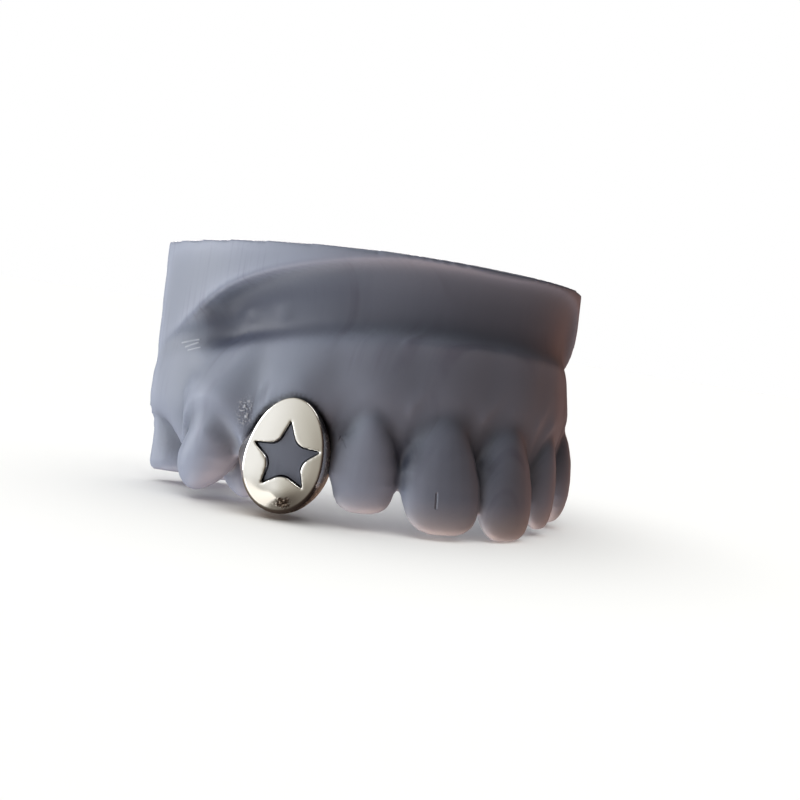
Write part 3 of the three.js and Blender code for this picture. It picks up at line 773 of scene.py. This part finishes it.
stretched = (1 / STREAK_LONG, 1 / STREAK, 1 / STREAK_LONG)
along = add(tree, "Mapping", {"Vector": where, "Scale": stretched}).outputs[0]
layers = add(tree, "TexNoise", {"Vector": along, "Scale": 1.0, "Detail": 2.0}).outputs["Fac"]
line = add(tree, "MapRange", {"Value": layers, "From Min": 0.5, "From Max": 0.7}).outputs[0]
patches = add(tree, "TexNoise", {"Vector": where, "Scale": 1 / PATCH, "Detail": 2.0}).outputs["Fac"]
patch = add(tree, "MapRange", {"Value": patches, "From Min": 0.45, "From Max": 0.65, "To Max": 0.5}).outputs[0]
streak = add(tree, "Math", {0: line, 1: patch}, operation="MULTIPLY").outputs[0]
pale_and_glint = add(tree, "Attribute", attribute_name="pale_and_glint").outputs["Fac"]
for share, tint, way in ((streak, STREAK_TINT, "MULTIPLY"), (pale_and_glint, PALE_AND_GLINT_TINT, "MIX")):
    tones = {FIRST: colour, SECOND: linear(tint)}
    mixed = add(tree, "Mix", {"Factor": share, **tones}, data_type="RGBA", blend_type=way)
    colour = mixed.outputs[MIXED]
grit = add(tree, "TexNoise", {"Vector": where, "Scale": 1 / GRIT, "Detail": 2.0}).outputs["Fac"]
uneven = add(tree, "Math", {0: line, 1: grit}, operation="ADD").outputs[0]
bump = add(tree, "Bump", {"Height": uneven, "Strength": 0.12, "Distance": 0.02 * MM})
satin = add(tree, "MapRange", {"Value": clouds, "To Min": 0.42, "To Max": 0.55}).outputs[0]
wet = add(tree, "Attribute", attribute_name="wet").outputs["Fac"]
gloss = add(tree, "Mix", {"Factor": wet, "A": satin, "B": WET_ROUGHNESS})
resin = add(tree, "BsdfPrincipled", {
    "Base Color": colour,
    "Roughness": gloss.outputs[0],
    "Normal": bump.outputs[0],
    "IOR": 1.5,
    "Subsurface Weight": 0.15,
    "Subsurface Radius": (1.0, 1.0, 1.2),
    "Subsurface Scale": 0.6 * MM,
})
add(tree, "OutputMaterial", {"Surface": resin.outputs[0]})
print("resin:", len(tree.nodes), "nodes")

# %% [markdown]
# ## Cast silver
# The face of the cap is polished to a mirror. Its sides, which a wheel can't reach between teeth, keep
# the grain of the casting, and their brown is tarnish and a painted warm reflection. The deepest places,
# the seam along the gum and the flaw are painted dark, as painted shade and a painted reflection. Each
# corner has noted which of these it is.

# %% Silver material
GRAIN = 0.3 * MM  # drawn coarser than a real casting's grain, so that it shows
# the sides' brown is tarnish and a painted warm reflection; the dark tone is painted shade and a painted
# reflection
POLISHED, TARNISH_AND_REFLECTION, BARE, PAINTED_DARK_SILVER = "#efede7", "#7d6d61", "#efe2d3", "#2a2624"
FACE_ROUGHNESS, SIDE_ROUGHNESS = 0.16, 0.36

# Polished cast silver: a warm white metal, bright and smooth in front, grainy and brown on the sides, where
# the brown is tarnish and a painted warm reflection, and painted dark where shade falls.
tree = new_material("cast_silver", cap)
where = add(tree, "TexCoord").outputs["Object"]
side = add(tree, "Attribute", attribute_name="side").outputs["Fac"]
painted_dark = add(tree, "Attribute", attribute_name="painted_dark").outputs["Fac"]
coarse = {"Vector": where, "Scale": 1 / GRAIN, "Detail": 3.0, "Roughness": 0.65}
grain = add(tree, "TexNoise", coarse).outputs["Fac"]
speckle = add(tree, "MapRange", {"Value": grain, "From Min": 0.55, "From Max": 0.61}).outputs[0]
tones = {FIRST: linear(TARNISH_AND_REFLECTION), SECOND: linear(BARE)}
grainy = add(tree, "Mix", {"Factor": speckle, **tones}, data_type="RGBA").outputs[MIXED]
tones = {FIRST: linear(POLISHED), SECOND: grainy}
outside = add(tree, "Mix", {"Factor": side, **tones}, data_type="RGBA").outputs[MIXED]
tones = {FIRST: outside, SECOND: linear(PAINTED_DARK_SILVER)}
tint = add(tree, "Mix", {"Factor": painted_dark, **tones}, data_type="RGBA").outputs[MIXED]
rough = add(tree, "MapRange", {"Value": side, "To Min": FACE_ROUGHNESS, "To Max": SIDE_ROUGHNESS})
height = add(tree, "Math", {0: grain, 1: side}, operation="MULTIPLY").outputs[0]
bump = add(tree, "Bump", {"Height": height, "Strength": 0.9, "Distance": 0.1 * MM})
silver = add(tree, "BsdfPrincipled", {
    "Base Color": tint,
    "Metallic": 1.0,
    "Roughness": rough.outputs[0],
    "Normal": bump.outputs[0],
})
add(tree, "OutputMaterial", {"Surface": silver.outputs[0]})
print("silver:", len(tree.nodes), "nodes")

# %% [markdown]
# ## The table
# The part stands on a plain white table. It takes light from straight above only, so that it stays even
# and white. It throws no shade, because some of the lamps below stand for the light that it throws back.

# %% Floor
FLOOR_RADIUS, FLOOR_CORNERS = 4.0, 96

shape = bmesh.new()
bmesh.ops.create_circle(shape, cap_ends=True, segments=FLOOR_CORNERS, radius=FLOOR_RADIUS)
floor = new_piece("floor", shape)
tree = new_material("white_table", floor)
matte = {"Base Color": linear("#f4f4f2"), "Roughness": 0.9, "Specular IOR Level": 0.0}
add(tree, "OutputMaterial", {"Surface": add(tree, "BsdfPrincipled", matte).outputs[0]})
floor.visible_diffuse = floor.visible_glossy = floor.visible_shadow = False
print("floor:", 2 * FLOOR_RADIUS, "m across")

# %% [markdown]
# ## The lamps
# One large soft light stands on the left, as a window would, and the right side is left dim and warm.
# Weaker lamps round the part and below it stand for the light that a bright table and a room throw back.
# Matte resin and mirror-like silver need different lamps, so each lamp lights one of them alone.

# %% Lights
CENTRE = Vector((0, 0, 0.013))  # the middle of the part, which every lamp faces
IN_RESIN, IN_SILVER = (cast, tooth), (cap,)
# name, azimuth, elevation, distance, width, height, power, colour, what it lights
LAMPS = [
    ("key", -126, 6, 0.42, 0.3, 0.3, 1.1, "#ffffff", IN_RESIN),
    ("key_above", -126, 40, 0.42, 0.3, 0.3, 0.31, "#ffffff", IN_RESIN),
    ("left_fill", -80, 10, 0.42, 0.3, 0.3, 0.69, "#f7fcff", IN_RESIN),
    ("left_table", -90, -60, 0.42, 0.3, 0.3, 1.1, "#ffffff", IN_RESIN),
    ("front_fill", -40, 5, 0.42, 0.3, 0.3, 0.18, "#ffddce", IN_RESIN),
    ("front_table", 30, -66, 0.42, 0.3, 0.3, 1.3, "#ffdccb", IN_RESIN),
    ("right_fill", 95, 0, 0.42, 0.3, 0.3, 0.17, "#ffbca6", IN_RESIN),
    ("right_back", 152, 15, 0.42, 0.3, 0.3, 2.8, "#fff6f0", IN_RESIN),
    ("top_fill", 0, 88, 0.42, 0.3, 0.3, 0.2, "#ffffff", IN_RESIN),
    ("cap_key", -126, 6, 0.42, 0.36, 0.34, 2.0, "#ffffff", IN_SILVER),
    ("cap_low", -104, -46, 0.35, 0.26, 0.22, 0.16, "#fffaf4", IN_SILVER),
    ("cap_top", 40, 55, 0.35, 0.2, 0.2, 0.3, "#ffffff", IN_SILVER),
    ("cap_side", 118, -5, 0.35, 0.25, 0.3, 0.12, "#f0cdb8", IN_SILVER),
]
OVERHEAD_POWER, OVERHEAD_SPREAD = 3.4, math.radians(100)


def from_angle(azimuth, elevation, distance):
    """A place round the part: azimuth 0 is in front, and negative is to the left of it."""
    a, e = math.radians(azimuth), math.radians(elevation)
    return CENTRE + distance * Vector((math.sin(a) * math.cos(e), -math.cos(a) * math.cos(e), math.sin(e)))


def soft_light(name, azimuth, elevation, distance, width, height, power, colour):
    """A rectangular softbox that faces the part."""
    lamp = bpy.data.lights.new(name, "AREA")
    lamp.shape = "RECTANGLE"
    lamp.size, lamp.size_y = width, height
    lamp.energy = power
    lamp.color = linear(colour)[:3]
    holder = bpy.data.objects.new(name, lamp)
    holder.location = from_angle(azimuth, elevation, distance)
    holder.rotation_euler = (CENTRE - holder.location).to_track_quat("-Z", "Y").to_euler()
    scene.collection.objects.link(holder)
    return holder


lit_by = [(soft_light(*row[:-1]), row[-1]) for row in LAMPS]
overhead = bpy.data.lights.new("overhead", "SUN")
overhead.energy, overhead.angle = OVERHEAD_POWER, OVERHEAD_SPREAD
above = bpy.data.objects.new("overhead", overhead)
scene.collection.objects.link(above)
for lamp, pieces in lit_by + [(above, (floor,))]:
    group = bpy.data.collections.new(lamp.name + "_lights")
    for piece in pieces:
        group.objects.link(piece)
    lamp.light_linking.receiver_collection = group
print("lamps:", len(lit_by) + 1)

# %% [markdown]
# ## The room
# Polished silver shows the room round it, so the room runs from bright on the left to dark and warm on
# the right, a little darker below. Only a little of it falls on matte surfaces, which have the lamps.
# Behind the part, the picture stays white.

# %% Room
BRIGHT_SIDE = from_angle(-95, 5, 1) - CENTRE
# from the dark side to the bright one
ROOM = [(0.1, "#2a211e"), (0.45, "#5d5049"), (0.64, "#a19b91"), (0.82, "#d2cfc8"), (0.95, "#ffffff")]
ON_MATTE = 0.08  # how much of the room's light falls on matte surfaces
TABLE_LOW, TABLE_HIGH, TABLE_SHARE = -0.9, -0.35, 0.55  # below, the room darkens to this share

scene.world = bpy.data.worlds.new("studio")
scene.world.use_nodes = True
tree = scene.world.node_tree
tree.nodes.clear()
rays = add(tree, "LightPath").outputs
direction = add(tree, "TexCoord").outputs["Generated"]
towards = add(tree, "VectorMath", {0: direction, 1: BRIGHT_SIDE}, operation="DOT_PRODUCT").outputs["Value"]
share = add(tree, "MapRange", {"Value": towards, "From Min": -1.0, "From Max": 1.0}).outputs[0]
room = add(tree, "ValToRGB", {"Fac": share})
stops = room.color_ramp.elements
for stop, (place, tone) in ((stops[0], ROOM[0]), (stops[1], ROOM[-1])):
    stop.position, stop.color = place, linear(tone)
for place, tone in ROOM[1:-1]:
    stops.new(place).color = linear(tone)
dim = add(tree, "MapRange", {"Value": rays["Is Diffuse Ray"], "To Min": 1.0, "To Max": ON_MATTE}).outputs[0]
height = add(tree, "SeparateXYZ", {"Vector": direction}).outputs["Z"]
lower = {"Value": height, "From Min": TABLE_LOW, "From Max": TABLE_HIGH, "To Min": TABLE_SHARE, "To Max": 1.0}
table = add(tree, "MapRange", lower).outputs[0]
strength = add(tree, "Math", {0: dim, 1: table}, operation="MULTIPLY").outputs[0]
air = add(tree, "Background", {"Color": room.outputs[0], "Strength": strength}).outputs[0]
white = add(tree, "Background", {"Color": linear("#ffffff"), "Strength": 1.0}).outputs[0]
seen = add(tree, "MixShader", {0: rays["Is Camera Ray"], 1: air, 2: white})
add(tree, "OutputWorld", {"Surface": seen.outputs[0]})
scene.view_settings.view_transform = "Standard"
print("room:", len(ROOM), "tones")

# %% [markdown]
# ## The camera
# The camera stands close, to the left of the front and a little above the middle of the part, and it is
# tilted slightly about its own line of sight. It is given by its place, the point it looks at and its
# upward direction, from which its three axes are worked out.

# %% Camera
EYE = Vector((-76.59, -99.65, 19.79)) * MM
LOOK_AT = Vector((-3.36, -2.54, 12.57)) * MM
EYE_UP = Vector((-0.0876, 0.1394, 0.9864))
LENS, SENSOR = 51.53, 36.0  # in millimetres
CLIP_NEAR, CLIP_FAR = 0.005, 20  # in metres

lens = bpy.data.cameras.new("camera")
lens.lens, lens.sensor_width = LENS, SENSOR
lens.clip_start, lens.clip_end = CLIP_NEAR, CLIP_FAR
camera = bpy.data.objects.new("camera", lens)
sight = (LOOK_AT - EYE).normalized()
right = sight.cross(EYE_UP).normalized()
axes = Matrix((right, right.cross(sight), -sight)).transposed()
camera.matrix_world = Matrix.Translation(EYE) @ axes.to_4x4()
scene.collection.objects.link(camera)
scene.camera = camera
print("camera at", [round(x / MM, 1) for x in EYE], "mm")
